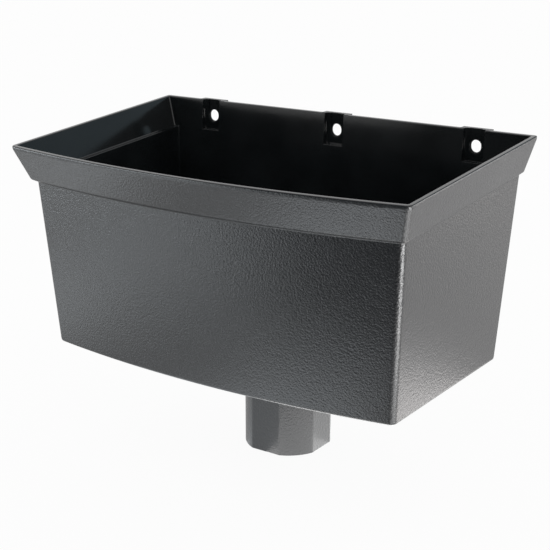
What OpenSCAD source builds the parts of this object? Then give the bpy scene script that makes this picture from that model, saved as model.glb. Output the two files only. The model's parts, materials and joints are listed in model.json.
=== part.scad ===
// Bow-fronted hopper head for a rainwater downpipe, moulded in one piece.
// A tapering box carries a flared collar whose rim falls towards the front. Rounded pockets
// in the back wall hold the fixing slots, each under a pad that keeps the box off the wall, and
// a spigot with four flats leaves the floor.
// The wall face is the plane y = 0 and the front looks along -Y. The origin is the centre of
// the middle fixing slot on that plane.

/* [Box] */
// Outside width of the box under the collar
box_w = 295.6; // [220:0.1:400]
// Depth from the back of the rim to the front corners of the box, under the collar
box_d = 162.7; // [120:0.1:220]
// Height from the underside to the top of the box, at the back
box_h = 132.8; // [90:0.1:200]
// How far the middle of the front stands out from its corners
bow = 12.2; // [4:0.1:25]
// Lean of the side walls in degrees
side_draft = 3.25; // [0.5:0.05:6]
// Lean of the front wall in degrees
front_draft = 3.7; // [0.5:0.05:6]
// Lean of the back wall in degrees
back_draft = 4.1; // [0.5:0.05:6]
// Radius of the upright front corners of the box
corner_r = 5; // [3.5:0.1:12]
// Radius of the upright back corners
back_r = 1.5; // [0.5:0.1:3]
// Radius of the edge round the underside
base_r = 2.5; // [1:0.1:6]

/* [Collar] */
// Height of the flared collar from its lower edge to the rim
collar_h = 25.1; // [15:0.1:45]
// Outward step from the box to the lower edge of the collar
ledge_w = 3.2; // [1.5:0.1:8]
// Rise of the bevelled underside of that step
ledge_rise = 2.2; // [1:0.1:6]
// Depth of the step inside, from the collar's floor down to the top of the box
ledge_t = 4.6; // [4:0.1:8]
// Fall of that step towards the box, so that it drains
ledge_drain = 0.2; // [0.2:0.1:2]
// How far the collar flares out from its lower edge to the rim
flare = 7.2; // [2:0.1:16]
// Height of the upright lip at the top of the flare
lip_h = 2.2; // [1:0.1:5]
// Fall of the rim from the back to the front in degrees
rim_fall = 4.47; // [0:0.01:8]
// Radius of the upright front corners of the collar
collar_r = 4; // [1.5:0.1:10]
// Rounding of the rim and of the small edges
edge_r = 0.8; // [0.3:0.05:1.2]

/* [Wall] */
// Thickness of the moulded wall
wall = 3.2; // [2:0.1:4]

/* [Outlet] */
// Diameter of the spigot, to enter a round pipe
outlet_d = 63.5; // [50:0.1:100]
// Width across the flats of the spigot, to enter a square pipe
outlet_flats = 59; // [46:0.1:96]
// Length of the spigot below the underside
outlet_l = 76.5; // [30:0.5:120]
// Distance from the wall face to the spigot's centre
outlet_reach = 66.6; // [55:0.1:85]
// Lead-in chamfer at the end of the spigot
outlet_lead = 0.8; // [0.2:0.1:1.5]

/* [Fixings] */
// Distance between neighbouring fixing slots
slot_pitch = 113; // [60:0.5:130]
// Width of a fixing slot
slot_w = 7.8; // [4:0.1:8]
// End to end height of a fixing slot
slot_h = 8.8; // [8.2:0.1:10]
// Distance from the top of the back wall down to the slot's centre
slot_drop = 12.4; // [11:0.1:18]
// Clear width of the pocket round a slot
pocket_w = 16; // [13:0.1:30]
// Distance from the slot's centre down to the pocket's floor
pocket_drop = 10.8; // [8:0.1:16]
// Rounding of the pocket's two inner corners
pocket_r = 2; // [0.5:0.1:4]
// Thickness of the plate at the back of a pocket
plate_t = 1.8; // [1.2:0.1:2.5]
// Width of the groove that runs from the top of that plate down round the slot
groove_w = 9.4; // [8.4:0.1:12]
// Depth of that groove
groove_t = 0.9; // [0.3:0.1:1]
// Height of the pad that meets the wall, down from the top of the back wall
pad_h = 7; // [3:0.1:7]
// How far the pad stands out behind the plate
pad_t = 2.5; // [1:0.1:4]
// Distance from the wall face to the back of the rim
stand_off = 4.2; // [3:0.1:15]

/* [Hidden] */
$fn = 96;

// Steps along the bowed front, round a front corner, round a back corner and over a rounded edge
bow_steps = 20;
corner_steps = 5;
back_steps = 3;
edge_steps = 3;
// Overlap that carries a cut or a join past a face
past = 1;
// Width of the flat margin inside the rounded edge of a floor
floor_margin = 4 * base_r;

fall = tan(rim_fall);
collar_base = box_h + ledge_rise;
back_h = collar_base + collar_h;
lip_base = back_h - lip_h;
inner_ledge = box_h + ledge_t;
slot_z = back_h - slot_drop;
pocket_floor = slot_z - pocket_drop;
boss_w = pocket_w + 2 * wall;
plate_y = -pad_t - plate_t;
inner_corner_r = max(corner_r - wall, edge_r);
inner_collar_r = max(collar_r - wall, edge_r);
bore_d = outlet_d - 2 * wall;
bore_flats = outlet_flats - 2 * wall;

// Outside half width and front corner of the box at a height over its floor
function box_half(h) = box_w / 2 - (box_h - h) * tan(side_draft);
function box_front(h) = -stand_off - box_d + (box_h - fall * box_d - h) * tan(front_draft);
function box_front_under_rim(h) = -stand_off - box_d - (h - box_h) * tan(front_draft);
// Outside of the back wall at a height over the box's floor
function back_face(h) = -stand_off - (back_h - h) * tan(back_draft);
// Outward step of the collar at a height, and its half width and front corner there
function collar_out(h) = ledge_w + flare * min(max((h - collar_base) / (lip_base - collar_base), 0), 1);
function collar_half(h) = box_w / 2 + collar_out(h);
function collar_front(h) = -stand_off - box_d - collar_out(h) - (h - box_h) * fall;

// A level of the shell: half width, front corner, back, height, fall to the front, corner radii
function level(half, front, back, h, tilt, front_r, rear_r) = [half, front, back, h, tilt, front_r, rear_r];
function box_level(h, front, tilt, inset) =
    level(box_half(h) - inset, front + inset, back_face(h) - inset, h, tilt,
          inset == 0 ? corner_r : inner_corner_r, back_r);
function collar_level(h, inset) =
    level(collar_half(h) - inset, collar_front(h) + inset, back_face(h) - inset, h, fall,
          inset == 0 ? collar_r : inner_collar_r, back_r);
function floor_level(h, inset) = box_level(h, box_front(h), 0, inset);
function shrunk(l, by) = [l[0] - by, l[1] + by, l[2] - by, l[3], l[4], l[5], l[6]];

// Profile of the shell from the underside up the outside, over the rim and down to the inner floor,
// each level with the rounding of its edge
profile = [
    [shrunk(floor_level(0, 0), floor_margin), 0],
    [floor_level(0, 0), base_r],
    [box_level(box_h, box_front_under_rim(box_h), fall, 0), edge_r],
    [collar_level(collar_base, 0), edge_r],
    [collar_level(lip_base, 0), edge_r],
    [collar_level(back_h, 0), edge_r],
    [collar_level(back_h, wall), edge_r],
    [collar_level(lip_base, wall), edge_r],
    [collar_level(inner_ledge + ledge_drain, wall), edge_r / 2],
    [box_level(inner_ledge, box_front_under_rim(inner_ledge), fall, wall), edge_r / 2],
    [floor_level(wall, wall), base_r],
    [shrunk(floor_level(wall, wall), floor_margin), 0],
];

// Point of the profile that lies a reach from one level towards another
function towards(from, to, reach) = from + (to - from) * reach / norm([to[0] - from[0], to[3] - from[3]]);
// Levels that round the profile's edge at one level
function rounded(before, here, after, reach) =
    reach == 0 ? [here] :
    let (start = towards(here, before, reach), end = towards(here, after, reach))
    [for (i = [0:edge_steps])
        let (t = i / edge_steps)
        (1 - t) * (1 - t) * start + 2 * t * (1 - t) * here + t * t * end];
levels = [for (i = [0:len(profile) - 1])
    each rounded(profile[max(i - 1, 0)][0], profile[i][0],
                 profile[min(i + 1, len(profile) - 1)][0], profile[i][1])];

// Plan of one level: the bowed front between rounded corners, straight sides and a flat back
function plan(l) =
    let (
        half = l[0],
        back = l[2],
        r = l[5],
        rear = l[6],
        bow_r = (half * half + bow * bow) / (2 * bow),
        bow_y = l[1] - bow + bow_r,
        corner_y = bow_y - sqrt(pow(bow_r - r, 2) - pow(half - r, 2)),
        tangent = atan2(corner_y - bow_y, half - r),
        front = [for (i = [1:bow_steps - 1])
            let (a = -180 - tangent + (180 + 2 * tangent) * i / bow_steps)
            [bow_r * cos(a), bow_y + bow_r * sin(a)]],
        right = concat(
            [for (i = [0:corner_steps])
                let (a = tangent * (1 - i / corner_steps))
                [half - r + r * cos(a), corner_y + r * sin(a)]],
            [for (i = [0:back_steps])
                let (a = 90 * i / back_steps)
                [half - rear + rear * cos(a), back - rear + rear * sin(a)]]),
        last = len(right) - 1
    )
    concat(front, right, [for (i = [0:last]) [-right[last - i][0], right[last - i][1]]]);

// Ring of points round one level, lowered towards the front by the level's fall
function ring(l) = [for (p = plan(l)) [p[0], p[1], l[3] + l[4] * (p[1] + stand_off)]];

// Skin of the box and collar, from the underside over the rim to the inner floor
module shell() {
    rings = [for (l = levels) ring(l)];
    count = len(rings[0]);
    top = len(rings) - 1;
    sides = [for (i = [0:top - 1], j = [0:count - 1])
        let (a = i * count + j, b = i * count + (j + 1) % count)
        each [[a, a + count, b + count], [a, b + count, b]]];
    underside = [for (j = [0:count - 1]) j];
    inner_floor = [for (j = [count - 1:-1:0]) top * count + j];
    polyhedron(points = [for (r = rings) each r], faces = concat(sides, [underside, inner_floor]));
}

// Solid boss behind the back wall, rooted in the middle of the wall, with the pad at its top
module boss() {
    low = pocket_floor - wall;
    rotate([90, 0, 90])
        linear_extrude(boss_w, center = true)
            polygon([
                [0, back_h],
                [0, back_h - pad_h],
                [-pad_t, back_h - pad_h],
                [-pad_t, low],
                [back_face(low) - wall / 2, low],
                [back_face(back_h) - wall / 2, back_h],
            ]);
}

// Space of a pocket, open to the inside and at the top, with two rounded inner corners
module pocket() {
    mouth = back_face(pocket_floor) - wall - past;
    depth = plate_y - mouth;
    translate([0, mouth, pocket_floor])
        linear_extrude(back_h - pocket_floor + past)
            union() {
                translate([-pocket_w / 2, 0])
                    square([pocket_w, depth - pocket_r]);
                translate([-pocket_w / 2 + pocket_r, 0])
                    square([pocket_w - 2 * pocket_r, depth]);
                for (side = [-1, 1])
                    translate([side * (pocket_w / 2 - pocket_r), depth - pocket_r])
                        circle(pocket_r);
            }
}

// Upright slot through the plate
module slot() {
    run = slot_h - slot_w;
    translate([0, past - pad_t, slot_z])
        rotate([90, 0, 0]) {
            for (end = [-1, 1])
                translate([0, end * run / 2, 0])
                    cylinder(d = slot_w, h = plate_t + 2 * past);
            translate([-slot_w / 2, -run / 2, 0])
                cube([slot_w, run, plate_t + 2 * past]);
        }
}

// Groove in the front of the plate, open at the top and round below the slot
module groove() {
    foot = slot_z - (slot_h - slot_w) / 2;
    translate([0, plate_y + groove_t, foot])
        rotate([90, 0, 0]) {
            cylinder(d = groove_w, h = groove_t + past);
            translate([-groove_w / 2, 0, 0])
                cube([groove_w, back_h - foot + past, groove_t + past]);
        }
}

// Round bar with four flats, with its lower end chamfered
module flatted_bar(diameter, flats, low, high, lead) {
    intersection() {
        rotate_extrude()
            polygon([
                [0, low],
                [diameter / 2 - lead, low],
                [diameter / 2, low + lead],
                [diameter / 2, high],
                [0, high],
            ]);
        translate([-flats / 2, -flats / 2, low])
            cube([flats, flats, high - low]);
    }
}

module at_outlet() {
    translate([0, -outlet_reach, 0])
        children();
}

module at_fixings() {
    for (i = [-1:1])
        translate([i * slot_pitch, 0, 0])
            children();
}

module hopper_head() {
    color([0.16, 0.17, 0.18])
        translate([0, 0, -slot_z])
            difference() {
                union() {
                    shell();
                    at_fixings() boss();
                    at_outlet() flatted_bar(outlet_d, outlet_flats, -outlet_l, wall / 2, outlet_lead);
                }
                at_fixings() {
                    pocket();
                    groove();
                    slot();
                }
                at_outlet() flatted_bar(bore_d, bore_flats, -outlet_l - past, wall + past, 0);
            }
}

hopper_head();
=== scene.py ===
"""Looks of a bow-fronted rainwater hopper head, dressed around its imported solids."""

import json
import logging
import math
from dataclasses import dataclass, field, fields, replace
from enum import Enum
from typing import Any

import bmesh
import bpy
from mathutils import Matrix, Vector

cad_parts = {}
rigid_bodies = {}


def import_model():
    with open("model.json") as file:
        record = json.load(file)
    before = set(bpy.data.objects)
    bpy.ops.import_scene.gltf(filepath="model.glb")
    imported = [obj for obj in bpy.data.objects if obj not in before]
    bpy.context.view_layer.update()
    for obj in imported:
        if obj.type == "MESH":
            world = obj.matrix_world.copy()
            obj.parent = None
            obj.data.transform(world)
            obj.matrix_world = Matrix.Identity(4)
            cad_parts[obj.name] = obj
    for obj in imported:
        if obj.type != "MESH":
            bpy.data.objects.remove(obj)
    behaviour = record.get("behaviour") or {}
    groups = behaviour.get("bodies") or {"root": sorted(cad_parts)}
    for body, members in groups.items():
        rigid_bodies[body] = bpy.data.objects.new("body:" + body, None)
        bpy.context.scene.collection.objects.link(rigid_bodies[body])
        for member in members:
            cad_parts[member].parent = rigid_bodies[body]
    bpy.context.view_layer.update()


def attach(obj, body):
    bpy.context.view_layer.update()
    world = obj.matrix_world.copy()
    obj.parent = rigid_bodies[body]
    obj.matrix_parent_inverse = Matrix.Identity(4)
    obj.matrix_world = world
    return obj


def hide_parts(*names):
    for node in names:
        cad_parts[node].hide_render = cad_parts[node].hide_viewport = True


LOG = logging.getLogger("hopper_head")
MM = 0.001
BODY = "root"
NODE = "hopper_head"

Place = tuple[float, float, float]
Tint = tuple[float, float, float]
Paint = tuple[float, float, float, float]

WELD = 1e-6
"""Points of the moulding that lie closer than this, in metres, are one."""
PRISM_WELD = 1e-7
"""The same for the small prisms of the fixings."""
TABLE_Z = -0.2242
"""Height of the spigot's end, where the lamps and cards on the floor lie."""
NEUTRAL: Tint = (1.0, 1.0, 1.0)
COOL: Tint = (0.88, 0.95, 1.0)
WARM: Tint = (1.0, 0.965, 0.95)
WHITE: Paint = (1.0, 1.0, 1.0, 1.0)
BLACK: Paint = (0.0, 0.0, 0.0, 1.0)


class Wire:
    """An output socket of a node tree, with arithmetic that adds Math nodes."""

    def __init__(self, graph: "Graph", socket: bpy.types.NodeSocket) -> None:
        """Keeps the socket and the graph that new nodes go to."""
        self.graph = graph
        self.socket = socket

    def __add__(self, other: Any) -> "Wire":
        """Sum of two values."""
        return self.graph.math("ADD", self, other)

    __radd__ = __add__

    def __sub__(self, other: Any) -> "Wire":
        """Difference of two values."""
        return self.graph.math("SUBTRACT", self, other)

    def __rsub__(self, other: Any) -> "Wire":
        """Difference of a number and a value."""
        return self.graph.math("SUBTRACT", other, self)

    def __mul__(self, other: Any) -> "Wire":
        """Product of two values."""
        return self.graph.math("MULTIPLY", self, other)

    __rmul__ = __mul__

    def __truediv__(self, other: Any) -> "Wire":
        """Quotient of two values."""
        return self.graph.math("DIVIDE", self, other)

    def __rtruediv__(self, other: Any) -> "Wire":
        """Quotient of a number and a value."""
        return self.graph.math("DIVIDE", other, self)

    def __neg__(self) -> "Wire":
        """Value with its sign turned."""
        return self.graph.math("MULTIPLY", self, -1.0)

    def __gt__(self, other: Any) -> "Wire":
        """One where the value is greater, else zero."""
        return self.graph.math("GREATER_THAN", self, other)

    def clamped(self) -> "Wire":
        """Value held between zero and one."""
        return self.graph.smaller(self.graph.larger(self, 0.0), 1.0)


class Graph:
    """A node tree that is filled by calls."""

    def __init__(self, tree: bpy.types.NodeTree) -> None:
        """Keeps the tree."""
        self.tree = tree

    def node(self, kind: str, settings: dict[str, Any] | None = None,
             sockets: dict[Any, Any] | None = None) -> bpy.types.Node:
        """Adds a node.

        Args:
            kind: the node's type.
            settings: properties, which are set first; "stops" fills a colour ramp.
            sockets: input names or numbers, with the value or wire each takes.

        Returns:
            The new node.
        """
        made = self.tree.nodes.new(kind)
        for name, value in (settings or {}).items():
            if name == "stops":
                self._fill_ramp(made.color_ramp, value)
            else:
                setattr(made, name, value)
        for key, value in (sockets or {}).items():
            self.feed(made.inputs[key], value)
        return made

    @staticmethod
    def _fill_ramp(ramp: bpy.types.ColorRamp, stops: list[tuple[float, Paint]]) -> None:
        """Sets a ramp's stops.

        Args:
            ramp: the ramp.
            stops: pairs of place and colour.
        """
        while len(ramp.elements) < len(stops):
            ramp.elements.new(1.0)
        for element, (place, colour) in zip(ramp.elements, stops):
            element.position = place
            element.color = colour

    def feed(self, socket: bpy.types.NodeSocket, value: Any) -> None:
        """Fills an input socket.

        Args:
            socket: the input.
            value: a wire, which is linked, or a number or colour, which is set.
        """
        if isinstance(value, Wire):
            self.tree.links.new(value.socket, socket)
        else:
            socket.default_value = value

    def out(self, node: bpy.types.Node, key: Any = 0) -> Wire:
        """Wire of one of a node's outputs."""
        return Wire(self, node.outputs[key])

    def math(self, operation: str, *values: Any) -> Wire:
        """Adds a Math node over values and wires."""
        made = self.node("ShaderNodeMath", {"operation": operation}, dict(enumerate(values)))
        return self.out(made)

    def sin(self, value: Any) -> Wire:
        """Sine of an angle in radians."""
        return self.math("SINE", value)

    def cos(self, value: Any) -> Wire:
        """Cosine of an angle in radians."""
        return self.math("COSINE", value)

    def sqrt(self, value: Any) -> Wire:
        """Square root."""
        return self.math("SQRT", value)

    def size_of(self, value: Any) -> Wire:
        """Value without its sign."""
        return self.math("ABSOLUTE", value)

    def larger(self, first: Any, second: Any) -> Wire:
        """Larger of two values."""
        return self.math("MAXIMUM", first, second)

    def smaller(self, first: Any, second: Any) -> Wire:
        """Smaller of two values."""
        return self.math("MINIMUM", first, second)


class Skin(Enum):
    """Which finish a stretch of the moulding's surface has."""

    GRAINED = 0.0
    SMOOTH = 1.0


@dataclass(frozen=True)
class Level:
    """One ring of the moulding's surface, in metres.

    The hopper's rings have a bowed front, straight sides and a flat back. The spigot's rings,
    with pipe at one, are a circle with four flats.
    """

    half: float
    front: float
    back: float
    height: float
    fall: float
    corner: float
    rear: float
    pipe: float
    pipe_r: float
    pipe_flat: float
    skin: float

    def towards(self, other: "Level", share: float) -> "Level":
        """Ring between this one and another, with this one's skin.

        Args:
            other: the ring to go towards.
            share: how far to go, from zero to one.

        Returns:
            The ring between them.
        """
        mixed = {f.name: getattr(self, f.name) * (1 - share) + getattr(other, f.name) * share
                 for f in fields(self)}
        mixed["skin"] = self.skin
        return Level(**mixed)

    def reach(self, other: "Level") -> float:
        """Distance along the profile to another ring."""
        return math.hypot(self.half - other.half + self.pipe_r - other.pipe_r,
                          self.height - other.height)


@dataclass(frozen=True)
class PlanSteps:
    """Number of steps round one half of a ring."""

    bow: int = 44
    corner: int = 8
    side: int = 16
    rear: int = 4
    back: int = 20
    pipe_half_flat: int = 11
    pipe_arc: int = 24
    pipe_flat: int = 22


@dataclass
class HopperHead:
    """The one-piece moulding: box, collar, fixing pockets and outlet spigot."""

    box_w: float = 295.6 * MM
    box_d: float = 162.7 * MM
    box_h: float = 132.8 * MM
    bow: float = 12.2 * MM
    side_draft: float = math.radians(3.25)
    front_draft: float = math.radians(3.7)
    back_draft: float = math.radians(4.1)
    corner_r: float = 5 * MM
    back_r: float = 1.5 * MM
    base_r: float = 2.5 * MM
    collar_h: float = 25.1 * MM
    ledge_w: float = 3.2 * MM
    ledge_rise: float = 2.2 * MM
    ledge_t: float = 4.6 * MM
    ledge_drain: float = 0.2 * MM
    flare: float = 7.2 * MM
    lip_h: float = 2.2 * MM
    rim_fall: float = math.radians(4.47)
    collar_r: float = 4 * MM
    edge_r: float = 0.8 * MM
    wall: float = 3.2 * MM
    outlet_d: float = 63.5 * MM
    outlet_flats: float = 59 * MM
    outlet_l: float = 76.5 * MM
    outlet_reach: float = 66.6 * MM
    outlet_lead: float = 0.8 * MM
    outlet_margin: float = 6 * MM
    slot_pitch: float = 113 * MM
    slot_w: float = 7.8 * MM
    slot_h: float = 8.8 * MM
    slot_drop: float = 12.4 * MM
    pocket_w: float = 16 * MM
    pocket_drop: float = 10.8 * MM
    pocket_r: float = 2 * MM
    plate_t: float = 1.8 * MM
    groove_w: float = 9.4 * MM
    groove_t: float = 0.9 * MM
    pad_h: float = 7 * MM
    pad_t: float = 2.5 * MM
    stand_off: float = 4.2 * MM
    floor_margin: float = 12 * MM
    wall_rows: int = 14
    collar_rows: int = 4
    edge_rows: int = 5
    crease: float = math.radians(28)
    steps: PlanSteps = field(default_factory=PlanSteps)

    def __post_init__(self) -> None:
        """Works out the heights that follow from the sizes."""
        self.fall = math.tan(self.rim_fall)
        self.collar_base = self.box_h + self.ledge_rise
        self.back_h = self.collar_base + self.collar_h
        self.lip_base = self.back_h - self.lip_h
        self.inner_ledge = self.box_h + self.ledge_t
        self.slot_z = self.back_h - self.slot_drop

    def back_face(self, h: float) -> float:
        """Outside of the back wall at a height over the underside."""
        return -self.stand_off - (self.back_h - h) * math.tan(self.back_draft)

    def _wall_level(self, half: float, front: float, corner: float, h: float, tilt: float,
                    inset: float, skin: Skin) -> Level:
        """Ring of a wall of the box or the collar.

        Args:
            half: half the width outside.
            front: place of the outside at the ends of the bow.
            corner: radius of the front corners outside.
            h: height over the underside, at the back.
            tilt: fall of the ring to the front.
            inset: distance inside the outer face.
            skin: finish of the surface that starts here.

        Returns:
            The ring.
        """
        return Level(half - inset, front + inset, self.back_face(h) - inset, h, tilt,
                     max(corner - inset, self.edge_r), self.back_r, 0.0, self.outlet_d / 2,
                     self.outlet_flats / 2, skin.value)

    def box_level(self, h: float, tilt: float, inset: float, skin: Skin) -> Level:
        """Ring of the box's wall.

        Args:
            h: height over the underside, at the back.
            tilt: fall of the ring to the front.
            inset: distance inside the outer face.
            skin: finish of the surface that starts here.

        Returns:
            The ring.
        """
        drop = self.box_h - h - (0 if tilt else self.fall * self.box_d)
        front = -self.stand_off - self.box_d + drop * math.tan(self.front_draft)
        half = self.box_w / 2 - (self.box_h - h) * math.tan(self.side_draft)
        return self._wall_level(half, front, self.corner_r, h, tilt, inset, skin)

    def collar_level(self, h: float, inset: float, skin: Skin) -> Level:
        """Ring of the collar's wall.

        Args:
            h: height over the underside, at the back.
            inset: distance inside the outer face.
            skin: finish of the surface that starts here.

        Returns:
            The ring.
        """
        share = (h - self.collar_base) / (self.lip_base - self.collar_base)
        out = self.ledge_w + self.flare * min(max(share, 0.0), 1.0)
        front = -self.stand_off - self.box_d - out - (h - self.box_h) * self.fall
        half = self.box_w / 2 + out
        return self._wall_level(half, front, self.collar_r, h, self.fall, inset, skin)

    def floor_level(self, h: float, inset: float, margin: float, skin: Skin) -> Level:
        """Ring of a level floor.

        Args:
            h: height over the underside.
            inset: distance of the floor's edge inside the outer face.
            margin: distance of the ring inside the floor's edge.
            skin: finish of the surface that starts here.

        Returns:
            The ring.
        """
        edge = self.box_level(h, 0.0, inset, skin)
        return replace(edge, half=edge.half - margin, front=edge.front + margin,
                       back=edge.back - margin)

    def pipe_level(self, h: float, outset: float, skin: Skin) -> Level:
        """Ring of the spigot.

        Args:
            h: height over the underside of the box.
            outset: distance outside the spigot's outer face.
            skin: finish of the surface that starts here.

        Returns:
            The ring.
        """
        base = self.floor_level(0.0, 0.0, self.floor_margin, skin)
        return replace(base, height=h, pipe=1.0, pipe_r=self.outlet_d / 2 + outset,
                       pipe_flat=self.outlet_flats / 2 + outset)

    def profile(self) -> list[tuple[Level, float, int]]:
        """Corners of the moulding's section.

        Returns:
            Rings from the spigot up the outside, over the rim, down the inside and through the
            bore, each with the rounding of its edge and the rows on the stretch after it.
        """
        grained, smooth = Skin.GRAINED, Skin.SMOOTH
        end, margin = -self.outlet_l, self.outlet_margin
        edge, wall = self.edge_r, self.wall
        rows, few = self.wall_rows, self.collar_rows
        return [
            (self.pipe_level(0.0, margin, grained), 0.0, 1),
            (self.floor_level(0.0, 0.0, self.floor_margin, grained), 0.0, 1),
            (self.floor_level(0.0, 0.0, 0.0, grained), self.base_r, rows),
            (self.box_level(self.box_h, self.fall, 0.0, grained), edge, 1),
            (self.collar_level(self.collar_base, 0.0, grained), edge, few),
            (self.collar_level(self.lip_base, 0.0, grained), edge, 1),
            (self.collar_level(self.back_h, 0.0, smooth), edge, 1),
            (self.collar_level(self.back_h, wall, smooth), edge, few),
            (self.collar_level(self.inner_ledge + self.ledge_drain, wall, smooth), edge / 2, 1),
            (self.box_level(self.inner_ledge, self.fall, wall, smooth), edge / 2, rows),
            (self.floor_level(wall, wall, 0.0, smooth), self.base_r, 1),
            (self.floor_level(wall, wall, self.floor_margin, smooth), 0.0, 1),
            (self.pipe_level(wall, margin - wall, smooth), 0.0, 1),
            (self.pipe_level(wall, -wall, smooth), edge, few),
            (self.pipe_level(end, -wall, smooth), edge / 2, 1),
            (self.pipe_level(end, 0.0, grained), self.outlet_lead, few),
            (self.pipe_level(0.0, 0.0, grained), edge, 1),
            (self.pipe_level(0.0, margin, grained), 0.0, 1),
        ]

    def levels(self) -> list[Level]:
        """Fills in the section between its corners.

        Returns:
            All rings of the surface, with the rounded edges and the rows between them.
        """
        corners = self.profile()
        rings: list[Level] = []
        for i, (here, rounding, _) in enumerate(corners):
            if i:
                before, eased, rows = corners[i - 1]
                span = here.reach(before)
                start = eased / span if rows > 1 else 0.0
                stop = 1 - rounding / span if rows > 1 else 1.0
                rings += [before.towards(here, start + (stop - start) * k / rows)
                          for k in range(1, rows)]
            if not rounding:
                rings.append(here)
                continue
            before, after = corners[i - 1][0], corners[i + 1][0]
            first = here.towards(before, rounding / here.reach(before))
            last = here.towards(after, rounding / here.reach(after))
            for k in range(self.edge_rows + 1):
                t = k / self.edge_rows
                rings.append(first.towards(here, t).towards(here.towards(last, t), t))
        return rings

    def level_mesh(self) -> bpy.types.Mesh:
        """Makes the points that the Geometry Nodes tree lofts.

        Returns:
            A mesh with one point for each ring, which carries its sizes as attributes.
        """
        rings = self.levels()
        mesh = bpy.data.meshes.new("hopper_levels")
        mesh.from_pydata([(0.0, 0.0, ring.height) for ring in rings], [], [])
        for f in fields(Level):
            store = mesh.attributes.new(f.name, "FLOAT", "POINT")
            store.data.foreach_set("value", [getattr(ring, f.name) for ring in rings])
        return mesh


@dataclass(frozen=True)
class TreeInput:
    """A named input of a Geometry Nodes tree, with the value that it gets."""

    name: str
    value: Any
    kind: str = "NodeSocketFloat"


@dataclass(frozen=True)
class FixingShares:
    """How the solids of a fixing lap the walls, and how its cutters are drawn."""

    boss_lap: float = 0.75
    """Reach of a boss into the back wall, in wall thicknesses."""
    pad_lap: float = 0.5
    """Reach of a pad into the back wall, in wall thicknesses."""
    edge: float = 0.1
    """Rounding of a boss's upright edges, in wall thicknesses."""
    round_end: float = 0.4999
    """Rounding of a bar with round ends, in its widths."""
    groove_cut: float = 3.0
    """Depth of a groove's cutter, in groove depths."""
    slot_cut: float = 2.0
    """Depth of a slot's cutter, in plate thicknesses."""
    corner_points: int = 8
    """Points on a rounded corner."""


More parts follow.
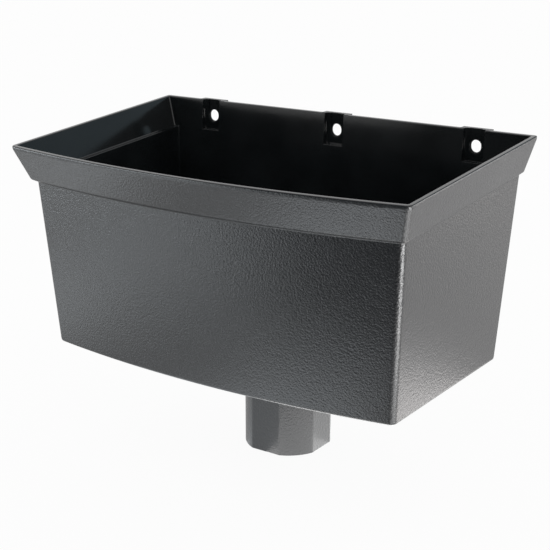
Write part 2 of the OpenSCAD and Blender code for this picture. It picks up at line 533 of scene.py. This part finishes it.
class MouldingTree:
    """Geometry Nodes tree that lofts the rings and lets in the fixing pockets."""

    SKIN_SPLIT = 0.51
    FIXINGS = 3

    def __init__(self, head: HopperHead, outside: bpy.types.Material,
                 inside: bpy.types.Material) -> None:
        """Builds the tree.

        Args:
            head: the sizes.
            outside: finish of the grained skin.
            inside: finish of the smooth skin.
        """
        self.head = head
        self.outside = outside
        self.inside = inside
        self.shares = FixingShares()
        self.tree = bpy.data.node_groups.new("hopper_moulding", "GeometryNodeTree")
        self.graph = Graph(self.tree)
        self.inputs = self._inputs()
        self._interface()
        self._build()

    def _inputs(self) -> list[TreeInput]:
        """Lists the named sizes that the tree takes.

        Returns:
            The inputs, in the order of their sockets.
        """
        head, steps = self.head, self.head.steps
        whole = "NodeSocketInt"
        return [
            TreeInput("Levels", len(head.levels()), whole),
            TreeInput("Bow steps", steps.bow, whole),
            TreeInput("Corner steps", steps.corner, whole),
            TreeInput("Side steps", steps.side, whole),
            TreeInput("Rear steps", steps.rear, whole),
            TreeInput("Back steps", steps.back, whole),
            TreeInput("Pipe half flat steps", steps.pipe_half_flat, whole),
            TreeInput("Pipe arc steps", steps.pipe_arc, whole),
            TreeInput("Pipe flat steps", steps.pipe_flat, whole),
            TreeInput("Bow", head.bow),
            TreeInput("Stand off", head.stand_off),
            TreeInput("Outlet reach", head.outlet_reach),
            TreeInput("Slot height over base", head.slot_z),
            TreeInput("Slot pitch", head.slot_pitch),
            TreeInput("Slot width", head.slot_w),
            TreeInput("Slot height", head.slot_h),
            TreeInput("Pocket width", head.pocket_w),
            TreeInput("Pocket drop", head.pocket_drop),
            TreeInput("Pocket rounding", head.pocket_r),
            TreeInput("Top over slot", head.slot_drop),
            TreeInput("Wall", head.wall),
            TreeInput("Plate", head.plate_t),
            TreeInput("Groove width", head.groove_w),
            TreeInput("Groove depth", head.groove_t),
            TreeInput("Pad height", head.pad_h),
            TreeInput("Pad depth", head.pad_t),
        ]

    def _interface(self) -> None:
        face = self.tree.interface
        face.new_socket("Geometry", in_out="INPUT", socket_type="NodeSocketGeometry")
        self.ids = {item.name: face.new_socket(item.name, in_out="INPUT",
                                               socket_type=item.kind).identifier
                    for item in self.inputs}
        face.new_socket("Geometry", in_out="OUTPUT", socket_type="NodeSocketGeometry")
        self.entry = self.graph.node("NodeGroupInput")

    def given(self, name: str) -> Wire:
        """Wire of one of the tree's inputs."""
        return self.graph.out(self.entry, name)

    def apply_to(self, piece: bpy.types.Object) -> None:
        """Adds the tree to a piece and sets its inputs.

        Args:
            piece: the object whose points are the rings.
        """
        modifier = piece.modifiers.new("moulding", "NODES")
        modifier.node_group = self.tree
        for item in self.inputs:
            modifier[self.ids[item.name]] = item.value

    def _build(self) -> None:
        """Joins the parts of the tree."""
        g = self.graph
        skin = self._skin()
        solids = [self._at_fixings(mesh) for mesh in (self._boss(), self._pad())]
        spaces = [self._at_fixings(mesh)
                  for mesh in (self._pocket(), self._groove(), self._slot())]
        joined = self._boolean("UNION", None, [skin, *solids])
        opened = self._boolean("DIFFERENCE", joined, spaces)
        real = g.node("GeometryNodeRealizeInstances", sockets={"Geometry": opened})
        g.node("NodeGroupOutput", sockets={"Geometry": g.out(real)})

    def _painted(self, mesh: Wire, material: bpy.types.Material,
                 where: Wire | None = None) -> Wire:
        """Gives a mesh a material.

        Args:
            mesh: the mesh.
            material: the finish.
            where: mask of the faces that get it, or None for all.

        Returns:
            The mesh with its finish.
        """
        sockets: dict[Any, Any] = {"Geometry": mesh, "Material": material}
        if where is not None:
            sockets["Selection"] = where
        return self.graph.out(self.graph.node("GeometryNodeSetMaterial", sockets=sockets))

    def _boolean(self, operation: str, body: Wire | None, others: list[Wire]) -> Wire:
        """Joins meshes, or cuts them from a body.

        Args:
            operation: UNION or DIFFERENCE.
            body: the mesh that is cut, or None where all are joined.
            others: the meshes that are joined or cut away.

        Returns:
            The new mesh.
        """
        made = self.graph.node("GeometryNodeMeshBoolean",
                               {"operation": operation, "solver": "EXACT"})
        if body is not None:
            self.graph.feed(made.inputs[0], body)
        for other in others:
            self.graph.feed(made.inputs[1], other)
        return self.graph.out(made)

    def _step_share(self, step: Wire, before: Wire | float, count: Wire) -> Wire:
        """Share of one stretch of a ring that lies behind a step."""
        return ((step - before) / count).clamped()

    def _skin(self) -> Wire:
        """Lofts the moulding's skin through its rings.

        Returns:
            The closed skin, with its two finishes.
        """
        g = self.graph
        level_count = self.given("Levels")
        half_steps = (self.given("Bow steps") + self.given("Corner steps")
                      + self.given("Side steps") + self.given("Rear steps")
                      + self.given("Back steps"))
        grid = g.node("GeometryNodeMeshGrid", sockets={
            "Vertices X": half_steps * 2.0 + 1.0, "Vertices Y": level_count})
        index = g.out(g.node("GeometryNodeInputIndex"))
        column = g.math("FLOOR", (index + 0.5) / level_count)
        row = index - column * level_count
        past_back = column > half_steps
        step = column + past_back * (half_steps * 2.0 - column * 2.0)
        side = 1.0 - past_back * 2.0

        ring = {f.name: self._sampled(f.name, row) for f in fields(Level)}
        hopper_x, hopper_y = self._hopper_plan(ring, step)
        pipe_x, pipe_y = self._pipe_plan(ring, step)
        pipe = ring["pipe"]
        x = hopper_x + (pipe_x - hopper_x) * pipe
        y = hopper_y + (pipe_y - hopper_y) * pipe
        z = ring["height"] + ring["fall"] * (y + self.given("Stand off"))
        place = g.node("ShaderNodeCombineXYZ", sockets={
            "X": x * side, "Y": y, "Z": z - self.given("Slot height over base")})

        kept = g.node("GeometryNodeStoreNamedAttribute",
                      {"data_type": "FLOAT", "domain": "POINT"},
                      {"Geometry": g.out(grid), "Name": "skin", "Value": ring["skin"]})
        moved = g.node("GeometryNodeSetPosition", sockets={
            "Geometry": g.out(kept), "Position": g.out(place)})
        welded = g.node("GeometryNodeMergeByDistance", sockets={
            "Geometry": g.out(moved), "Distance": WELD})
        smooth = self._attribute("skin") > self.SKIN_SPLIT
        grained = self._painted(g.out(welded), self.outside)
        return self._painted(grained, self.inside, smooth)

    def _attribute(self, name: str) -> Wire:
        """Wire of a named attribute."""
        return self.graph.out(self.graph.node(
            "GeometryNodeInputNamedAttribute", {"data_type": "FLOAT"}, {"Name": name}))

    def _sampled(self, name: str, row: Wire) -> Wire:
        """Reads a size of a ring from the points that come in.

        Args:
            name: the size's attribute.
            row: number of the ring.

        Returns:
            The size.
        """
        g = self.graph
        value = self._attribute(name)
        sample = g.node("GeometryNodeSampleIndex", {"data_type": "FLOAT", "domain": "POINT"}, {
            "Geometry": self.given("Geometry"), "Value": value, "Index": row})
        return g.out(sample)

    def _hopper_plan(self, ring: dict[str, Wire], step: Wire) -> tuple[Wire, Wire]:
        """Plan of a hopper ring on its right half.

        Args:
            ring: the ring's sizes.
            step: steps from the middle of the front.

        Returns:
            Distance to the right and place along Y.
        """
        g = self.graph
        bow, half, r, rear = self.given("Bow"), ring["half"], ring["corner"], ring["rear"]
        bow_end = self.given("Bow steps")
        corner_end = bow_end + self.given("Corner steps")
        side_end = corner_end + self.given("Side steps")
        rear_end = side_end + self.given("Rear steps")
        on_bow = self._step_share(step, 0.0, bow_end)
        on_corner = self._step_share(step, bow_end, self.given("Corner steps"))
        on_side = self._step_share(step, corner_end, self.given("Side steps"))
        on_rear = self._step_share(step, side_end, self.given("Rear steps"))
        on_back = self._step_share(step, rear_end, self.given("Back steps"))

        bow_r = (half * half + bow * bow) / (bow * 2.0)
        bow_y = ring["front"] - bow + bow_r
        corner_y = bow_y - g.sqrt((bow_r - r) * (bow_r - r) - (half - r) * (half - r))
        tangent = g.math("ARCTAN2", corner_y - bow_y, half - r)
        quarter = math.pi / 2
        a = (tangent + quarter) * on_bow - quarter
        b = tangent * (1.0 - on_corner)
        c = on_rear * quarter
        x = (bow_r * g.cos(a) + r * (g.cos(b) - g.cos(tangent))
             + rear * (g.cos(c) - 1.0) - on_back * (half - rear))
        y = (bow_y + bow_r * g.sin(a) + r * (g.sin(b) - g.sin(tangent))
             + on_side * (ring["back"] - rear - corner_y) + rear * g.sin(c))
        return x, y

    def _pipe_plan(self, ring: dict[str, Wire], step: Wire) -> tuple[Wire, Wire]:
        """Plan of a spigot ring on its right half: a circle with four flats.

        Args:
            ring: the ring's sizes.
            step: steps from the middle of the front.

        Returns:
            Distance to the right and place along Y.
        """
        g = self.graph
        half_flat, arc, flat = (self.given("Pipe half flat steps"), self.given("Pipe arc steps"),
                                self.given("Pipe flat steps"))
        quarter = math.pi / 2
        turn = g.math("ARCCOSINE", ring["pipe_flat"] / ring["pipe_r"])
        angle = turn * self._step_share(step, 0.0, half_flat) - quarter
        gone = half_flat
        for count, sweep in ((arc, quarter - turn * 2.0), (flat, turn * 2.0),
                             (arc, quarter - turn * 2.0), (half_flat, turn)):
            angle = angle + sweep * self._step_share(step, gone, count)
            gone = gone + count
        across = g.larger(g.size_of(g.cos(angle)), g.size_of(g.sin(angle)))
        radius = g.smaller(ring["pipe_r"], ring["pipe_flat"] / across)
        return radius * g.cos(angle), radius * g.sin(angle) - self.given("Outlet reach")

    def _at_fixings(self, mesh: Wire) -> Wire:
        """Repeats a mesh at the three fixing places.

        Args:
            mesh: the mesh, drawn round the middle fixing.

        Returns:
            The three meshes as one.
        """
        g = self.graph
        pitch = self.given("Slot pitch")
        start = g.node("ShaderNodeCombineXYZ", sockets={"X": -pitch})
        gap = g.node("ShaderNodeCombineXYZ", sockets={"X": pitch})
        line = g.node("GeometryNodeMeshLine", {"mode": "OFFSET"}, {
            "Count": self.FIXINGS, "Start Location": g.out(start), "Offset": g.out(gap)})
        placed = g.node("GeometryNodeInstanceOnPoints", sockets={
            "Points": g.out(line), "Instance": mesh})
        return g.out(g.node("GeometryNodeRealizeInstances", sockets={"Geometry": g.out(placed)}))

    def _prism(self, width: Wire, depth: Wire, rounding: Wire, height: Wire) -> Wire:
        """Upright prism over a rounded rectangle.

        Args:
            width: size along X, centred on the origin.
            depth: size along Y, centred on the origin.
            rounding: radius of the upright edges.
            height: size along Z, up from the origin.

        Returns:
            The closed mesh.
        """
        g = self.graph
        outline = g.node("GeometryNodeCurvePrimitiveQuadrilateral", sockets={
            "Width": width, "Height": depth})
        eased = g.node("GeometryNodeFilletCurve", {"mode": "POLY"}, {
            "Curve": g.out(outline), "Radius": rounding, "Count": self.shares.corner_points})
        filled = g.node("GeometryNodeFillCurve", {"mode": "NGONS"}, {"Curve": g.out(eased)})
        rise = g.node("ShaderNodeCombineXYZ", sockets={"Z": height})
        tall = g.node("GeometryNodeExtrudeMesh", {"mode": "FACES"}, {
            "Mesh": g.out(filled), "Offset": g.out(rise), "Individual": False})
        turned = g.node("GeometryNodeFlipFaces", sockets={"Mesh": g.out(filled)})
        both = g.node("GeometryNodeJoinGeometry")
        for part in (turned, tall):
            g.feed(both.inputs[0], g.out(part))
        return g.out(g.node("GeometryNodeMergeByDistance", sockets={
            "Geometry": g.out(both), "Distance": PRISM_WELD}))

    def _moved(self, mesh: Wire, y: Any = 0.0, z: Any = 0.0, tip: float = 0.0) -> Wire:
        """Moves a mesh, after tipping it about X.

        Args:
            mesh: the mesh.
            y: distance along Y.
            z: distance along Z.
            tip: angle about X.

        Returns:
            The moved mesh.
        """
        g = self.graph
        place = g.node("ShaderNodeCombineXYZ", sockets={"Y": y, "Z": z})
        return g.out(g.node("GeometryNodeTransform", sockets={
            "Geometry": mesh, "Translation": g.out(place), "Rotation": (tip, 0.0, 0.0)}))

    def _boss(self) -> Wire:
        """Draws the boss behind the back wall.

        Returns:
            The solid, whose back is the back of the pocket's plate.
        """
        wall, drop = self.given("Wall"), self.given("Pocket drop")
        pad = self.given("Pad depth")
        depth = self.given("Stand off") + wall * self.shares.boss_lap - pad
        height = self.given("Top over slot") + drop + wall
        block = self._prism(self.given("Pocket width") + wall * 2.0, depth,
                            wall * self.shares.edge, height)
        return self._painted(self._moved(block, y=-pad - depth / 2.0, z=-drop - wall),
                             self.outside)

    def _pad(self) -> Wire:
        """Draws the pad at the top of a boss.

        Returns:
            The solid, whose back meets the wall of the building.
        """
        wall, height = self.given("Wall"), self.given("Pad height")
        depth = self.given("Stand off") + wall * self.shares.pad_lap
        block = self._prism(self.given("Pocket width") + wall * 2.0, depth,
                            wall * self.shares.edge, height)
        return self._painted(self._moved(block, y=-depth / 2.0,
                                         z=self.given("Top over slot") - height), self.outside)

    def _plate_front(self) -> Wire:
        """Distance from the wall face to the front of a pocket's plate."""
        return self.given("Pad depth") + self.given("Plate")

    def _pocket(self) -> Wire:
        """Draws the space of a pocket.

        Returns:
            The space, open to the inside and at the top.
        """
        wall, drop = self.given("Wall"), self.given("Pocket drop")
        rounding = self.given("Pocket rounding")
        depth = self.given("Stand off") + wall * 2.0 + rounding - self.given("Pad depth")
        height = self.given("Top over slot") + drop + wall
        space = self._prism(self.given("Pocket width"), depth, rounding, height)
        return self._painted(self._moved(space, y=-self._plate_front() - depth / 2.0, z=-drop),
                             self.inside)

    def _groove(self) -> Wire:
        """Draws the groove in the front of a plate.

        Returns:
            The space, open at the top and round below the slot.
        """
        width, depth = self.given("Groove width"), self.given("Groove depth")
        foot = (self.given("Slot width") - self.given("Slot height")) / 2.0 - width / 2.0
        top = self.given("Top over slot") + width
        bar = self._prism(width, top - foot, width * self.shares.round_end,
                          depth * self.shares.groove_cut)
        return self._painted(self._moved(bar, y=depth - self._plate_front(),
                                         z=(top + foot) / 2.0, tip=math.pi / 2), self.inside)

    def _slot(self) -> Wire:
        """Draws the upright slot through a plate.

        Returns:
            The space, which stands out of both faces of the plate.
        """
        width, plate = self.given("Slot width"), self.given("Plate")
        bar = self._prism(width, self.given("Slot height"), width * self.shares.round_end,
                          plate * self.shares.slot_cut)
        return self._painted(self._moved(bar, y=plate * 0.5 - self.given("Pad depth"),
                                         tip=math.pi / 2), self.inside)


@dataclass(frozen=True)
class CastGrain:
    """Black plastic with the fine pebbled skin of cast iron."""

    name: str = "cast_grain_black"
    dark: Paint = (0.004, 0.0045, 0.0052, 1.0)
    pale: Paint = (0.010, 0.0107, 0.012, 1.0)
    dark_stop: float = 0.3
    pale_stop: float = 0.75
    roughness: float = 0.34
    roughness_spread: float = 0.08
    wave_spread: float = 0.1
    pebble_scale: float = 820.0
    pebble_softness: float = 0.6
    wave_scale: float = 680.0
    wave_detail: float = 3.0
    wave_roughness: float = 0.55
    cloud_scale: float = 22.0
    cloud_detail: float = 3.0
    wave_height: float = 0.8
    pebble_height: float = 0.6
    wave_tone: float = 0.6
    cloud_tone: float = 0.4
    pebble_depth: float = 0.36 * MM
    strength: float = 0.65

    def make(self) -> bpy.types.Material:
        """Builds the material.

        Returns:
            The material.
        """
        material = bpy.data.materials.new(self.name)
        material.use_nodes = True
        g = Graph(material.node_tree)
        shader = material.node_tree.nodes["Principled BSDF"]
        place = g.out(g.node("ShaderNodeTexCoord"), "Object")
        pebbles = g.out(g.node("ShaderNodeTexVoronoi", {"feature": "SMOOTH_F1"}, {
            "Vector": place, "Scale": self.pebble_scale, "Smoothness": self.pebble_softness,
            "Randomness": 1.0}), "Distance")
        waves = g.out(g.node("ShaderNodeTexNoise", sockets={
            "Vector": place, "Scale": self.wave_scale, "Detail": self.wave_detail,
            "Roughness": self.wave_roughness}))
        cloud = g.out(g.node("ShaderNodeTexNoise", sockets={
            "Vector": place, "Scale": self.cloud_scale, "Detail": self.cloud_detail}))
        height = waves * self.wave_height - pebbles * self.pebble_height
        bump = g.node("ShaderNodeBump", sockets={
            "Strength": self.strength, "Distance": self.pebble_depth, "Height": height})
        g.feed(shader.inputs["Normal"], g.out(bump))
        stops = [(self.dark_stop, self.dark), (self.pale_stop, self.pale)]
        tone = g.node("ShaderNodeValToRGB", {"stops": stops}, {
            "Fac": waves * self.wave_tone + cloud * self.cloud_tone})
        g.feed(shader.inputs["Base Color"], g.out(tone))
        g.feed(shader.inputs["Roughness"], (cloud - 0.5) * self.roughness_spread
               + (waves - 0.5) * self.wave_spread + self.roughness)
        return material


@dataclass(frozen=True)
class SmoothGloss:
    """The same plastic where the mould was polished."""

    name: str = "smooth_gloss_black"
    dark: Paint = (0.006, 0.0072, 0.0078, 1.0)
    pale: Paint = (0.011, 0.013, 0.014, 1.0)
    dark_stop: float = 0.35
    pale_stop: float = 0.7
    roughness: float = 0.12
    roughness_spread: float = 0.08
    cloud_scale: float = 30.0
    cloud_detail: float = 4.0
    ripple_scale: float = 90.0
    ripple_detail: float = 2.0
    ripple_depth: float = 0.3 * MM
    ripple_strength: float = 0.08
    edge_r: float = 0.5 * MM
    edge_samples: int = 6

    def make(self) -> bpy.types.Material:
        """Builds the material.

        Returns:
            The material.
        """
        material = bpy.data.materials.new(self.name)
        material.use_nodes = True
        g = Graph(material.node_tree)
        shader = material.node_tree.nodes["Principled BSDF"]
        place = g.out(g.node("ShaderNodeTexCoord"), "Object")
        cloud = g.out(g.node("ShaderNodeTexNoise", sockets={
            "Vector": place, "Scale": self.cloud_scale, "Detail": self.cloud_detail}))
        ripple = g.out(g.node("ShaderNodeTexNoise", sockets={
            "Vector": place, "Scale": self.ripple_scale, "Detail": self.ripple_detail}))
        stops = [(self.dark_stop, self.dark), (self.pale_stop, self.pale)]
        tone = g.node("ShaderNodeValToRGB", {"stops": stops}, {"Fac": cloud})
        g.feed(shader.inputs["Base Color"], g.out(tone))
        g.feed(shader.inputs["Roughness"],
               (cloud - 0.5) * self.roughness_spread + self.roughness)
        soft_edge = g.node("ShaderNodeBevel", {"samples": self.edge_samples},
                           {"Radius": self.edge_r})
        bump = g.node("ShaderNodeBump", sockets={
            "Strength": self.ripple_strength, "Distance": self.ripple_depth, "Height": ripple,
            "Normal": g.out(soft_edge)})
        g.feed(shader.inputs["Normal"], g.out(bump))
        return material


def finished_mesh(source: bpy.types.Object, name: str, crease: float,
                  face_weight: int = 80) -> bpy.types.Object:
    """Turns an object with live modifiers into a plain mesh object.

    Args:
        source: the object, which is removed.
        name: name of the new piece.
        crease: angle over which an edge stays sharp.
        face_weight: how much large faces lead the shading, where 50 is even.

    Returns:
        The new piece, at the origin.
    """
    graph = bpy.context.evaluated_depsgraph_get()
    mesh = bpy.data.meshes.new_from_object(source.evaluated_get(graph), depsgraph=graph)
    mesh.name = name
    old = source.data
    bpy.data.objects.remove(source)
    bpy.data.meshes.remove(old)
    work = bmesh.new()
    work.from_mesh(mesh)
    bmesh.ops.remove_doubles(work, verts=work.verts, dist=WELD)
    bmesh.ops.recalc_face_normals(work, faces=work.faces)
    work.to_mesh(mesh)
    work.free()
    mesh.shade_smooth()
    mesh.set_sharp_from_angle(angle=crease)
    piece = bpy.data.objects.new(name, mesh)
    bpy.context.scene.collection.objects.link(piece)
    even = piece.modifiers.new("even_normals", "WEIGHTED_NORMAL")
    even.keep_sharp = True
    even.weight = face_weight
    return piece


def build_head(head: HopperHead) -> bpy.types.Object:
    """Makes the moulding and dresses it.

    Args:
        head: the sizes.

    Returns:
        The finished piece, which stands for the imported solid.
    """
    tree = MouldingTree(head, CastGrain().make(), SmoothGloss().make())
    source = bpy.data.objects.new("moulding_source", head.level_mesh())
    bpy.context.scene.collection.objects.link(source)
    tree.apply_to(source)
    piece = finished_mesh(source, "hopper_moulding", head.crease)
    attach(piece, BODY)
    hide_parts(NODE)
    return piece


@dataclass(frozen=True)
class Softbox:
    """A soft lamp that looks at the object."""

    name: str
    place: Place
    target: Place
    width: float
    height: float
    power: float
    colour: Tint = NEUTRAL

    def make(self) -> bpy.types.Object:
        """Builds the lamp.

        Returns:
            The lamp, which the camera doesn't see.
        """
        lamp = bpy.data.lights.new(self.name, "AREA")
        lamp.shape = "RECTANGLE"
        lamp.size, lamp.size_y = self.width, self.height
        lamp.energy = self.power
        lamp.color = self.colour
        stand = bpy.data.objects.new(self.name, lamp)
        stand.location = self.place
        aim = Vector(self.target) - Vector(self.place)
        stand.rotation_euler = aim.to_track_quat("-Z", "Y").to_euler()
        stand.visible_camera = False
        bpy.context.scene.collection.objects.link(stand)
        return stand


def table_light(name: str, x: float, y: float, width: float, depth: float, power: float,
                colour: Tint = NEUTRAL) -> Softbox:
    """Soft lamp that lies on the floor and shines straight up.

    Args:
        name: the lamp's name.
        x: middle of the lamp along X.
        y: middle of the lamp along Y.
        width: size along X.
        depth: size along Y.
        power: watts.
        colour: tint of the light.

    Returns:
        The lamp.
    """
    return Softbox(name, (x, y, TABLE_Z), (x, y, 1.0), width, depth, power, colour)


@dataclass(frozen=True)
class ReflectionCard:
    """A card that only reflections show: a painted reflection, black or glowing grey."""

    name: str
    corners: tuple[Place, ...]
    shade: Paint = BLACK
    paper: Paint = (0.01, 0.01, 0.01, 1.0)

    def make(self) -> bpy.types.Object:
        """Builds the card.

        Returns:
            The card, which neither the camera sees nor a shadow shows.
        """
        mesh = bpy.data.meshes.new(self.name)
        mesh.from_pydata(self.corners, [], [tuple(range(len(self.corners)))])
        material = bpy.data.materials.new(f"{self.name}_paper")
        material.use_nodes = True
        shader = material.node_tree.nodes["Principled BSDF"]
        shader.inputs["Base Color"].default_value = self.paper
        shader.inputs["Roughness"].default_value = 1.0
        # The card glows with this colour though it is no lamp: a painted reflection that only
        # reflections see.
        shader.inputs["Emission Color"].default_value = self.shade
        shader.inputs["Emission Strength"].default_value = 1.0
        mesh.materials.append(material)
        card = bpy.data.objects.new(self.name, mesh)
        card.visible_camera = card.visible_diffuse = card.visible_shadow = False
        bpy.context.scene.collection.objects.link(card)
        return card


def table_card(name: str, outline: tuple[tuple[float, float], ...],
               shade: Paint = BLACK) -> ReflectionCard:
    """Card that lies on the floor and paints a dark or grey reflection.

    Args:
        name: the card's name.
        outline: its corners along X and Y.
        shade: colour that reflections show.

    Returns:
        The card.
    """
    return ReflectionCard(name, tuple((x, y, TABLE_Z) for x, y in outline), shade)


@dataclass
class Studio:
    """Pale floor, soft lamps, cards that paint dark and grey reflections, and the camera."""

    camera_place: Place = (0.49146, -0.79949, 0.16841)
    camera_turn: Place = (math.radians(73.292), 0.0, math.radians(34.483))
    lens: float = 83.64
    sensor: float = 36.0
    clip_start: float = 0.01
    floor_z: float = TABLE_Z - 1 * MM
    floor_half: float = 15.0
    floor_paint: Paint = (0.8, 0.8, 0.8, 1.0)
    floor_share: float = 0.95
    white: float = 1.0
    world_light: float = 0.8
    lamps: tuple[Softbox, ...] = (
        Softbox("left_softbox", (-0.9, -0.8, -0.14), (0.0, -0.1, -0.12), 0.8, 0.16, 3.2, COOL),
        Softbox("right_softbox", (0.75, 0.5, -0.13), (0.15, -0.1, -0.1), 0.6, 0.18, 1.42, WARM),
        table_light("front_table_far", -0.225, -0.54, 0.19, 0.16, 0.42, COOL),
        table_light("front_table", 0.02, -0.285, 0.16, 0.09, 0.13, COOL),
        table_light("left_table_far", -0.325, -0.4, 0.15, 0.12, 0.134, COOL),
        table_light("left_table", -0.39, -0.28, 0.2, 0.1, 0.13, COOL),
        table_light("corner_table_far", 0.56, -0.2, 0.3, 0.22, 5.2),
        table_light("corner_table", 0.31, -0.2, 0.22, 0.16, 0.45),
        table_light("outlet_front_table", -0.065, -0.18, 0.13, 0.18, 0.056, COOL),
        table_light("outlet_table", 0.06, -0.125, 0.12, 0.14, 0.178),
        table_light("outlet_side_table", 0.07, 0.0, 0.1, 0.12, 0.073),
        table_light("right_table", 0.21, 0.0, 0.1, 0.16, 0.173, WARM),
        table_light("right_table_far", 0.33, 0.325, 0.3, 0.85, 0.307, WARM),
    )
    # Cards that only reflections show: the black ones paint dark reflections, and the far floor
    # card and the back card glow grey as painted reflections.
    flags: tuple[ReflectionCard, ...] = (
        table_card("floor_flag", ((-0.2, -0.57), (-0.03, -0.44), (0.03, -0.385), (0.6, -0.37),
                                  (0.77, -0.85), (-0.36, -0.85))),
        table_card("far_floor_flag", ((-0.36, -0.85), (0.77, -0.85), (1.2, -2.0), (-1.0, -2.0)),
                   (0.14, 0.17, 0.2, 1.0)),
        ReflectionCard("camera_flag", ((-1.0, -2.0, TABLE_Z), (1.2, -2.0, TABLE_Z), (1.2, -2.0, 1.6),
                             (-1.0, -2.0, 1.6))),
        ReflectionCard("back_card", ((0.2, 1.8, 0.1), (1.7, 0.5, 0.1), (1.7, 0.5, 1.3), (0.2, 1.8, 1.3)),
             (0.33, 0.42, 0.47, 1.0)),
    )

    def build(self) -> None:
        """Sets up the stage."""
        scene = bpy.context.scene
        scene.view_settings.view_transform = "Standard"
        self._camera(scene)
        self._world(scene)
        self._floor(scene)
        for flag in self.flags:
            flag.make()
        for lamp in self.lamps:
            lamp.make()

    def _camera(self, scene: bpy.types.Scene) -> None:
        """Places the camera at the photograph's angle.

        Args:
            scene: the scene that it films.
        """
        data = bpy.data.cameras.new("camera")
        data.lens = self.lens
        data.sensor_width = self.sensor
        data.clip_start = self.clip_start
        eye = bpy.data.objects.new("camera", data)
        eye.location = self.camera_place
        eye.rotation_euler = self.camera_turn
        scene.collection.objects.link(eye)
        scene.camera = eye

    @staticmethod
    def _shown(g: Graph) -> Wire:
        """Tells the rays that show the white background.

        Args:
            g: the tree of the world or the floor.

        Returns:
            One for those rays, else zero.
        """
        rays = g.node("ShaderNodeLightPath")
        direct = g.larger(g.out(rays, "Is Camera Ray"), g.out(rays, "Is Glossy Ray"))
        return g.larger(direct, g.out(rays, "Is Transmission Ray"))

    def _world(self, scene: bpy.types.Scene) -> None:
        """Puts white behind the object, with a dimmer even light on it.

        Args:
            scene: the scene that gets the world.
        """
        world = bpy.data.worlds.new("studio")
        scene.world = world
        world.use_nodes = True
        g = Graph(world.node_tree)
        back = world.node_tree.nodes["Background"]
        g.feed(back.inputs["Color"], WHITE)
        g.feed(back.inputs["Strength"],
               self._shown(g) * (self.white - self.world_light) + self.world_light)

    def _floor(self, scene: bpy.types.Scene) -> bpy.types.Object:
        """Lays the pale floor, which keeps the object's shadow.

        Args:
            scene: the scene that gets the floor.

        Returns:
            The floor.
        """
        half, z = self.floor_half, self.floor_z
        mesh = bpy.data.meshes.new("floor")
        mesh.from_pydata([(-half, -half, z), (half, -half, z), (half, half, z), (-half, half, z)],
                         [], [(0, 1, 2, 3)])
        floor = bpy.data.objects.new("floor", mesh)
        scene.collection.objects.link(floor)
        material = bpy.data.materials.new("pale_floor")
        material.use_nodes = True
        tree = material.node_tree
        tree.nodes.remove(tree.nodes["Principled BSDF"])
        g = Graph(tree)
        paper = g.node("ShaderNodeBsdfDiffuse", sockets={"Color": self.floor_paint})
        white = g.node("ShaderNodeEmission", sockets={"Strength": self.white})
        mixed = g.node("ShaderNodeMixShader", sockets={
            0: self._shown(g) * self.floor_share, 1: g.out(paper), 2: g.out(white)})
        g.feed(tree.nodes["Material Output"].inputs["Surface"], g.out(mixed))
        mesh.materials.append(material)
        return floor


def main() -> None:
    """Builds the object and its stage."""
    logging.basicConfig(level=logging.INFO, format="%(name)s: %(message)s")
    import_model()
    Studio().build()
    LOG.info("stage, lamps and camera are set")
    piece = build_head(HopperHead())
    LOG.info("%s has %d faces", piece.name, len(piece.data.polygons))


if __name__ == "__main__":
    main()
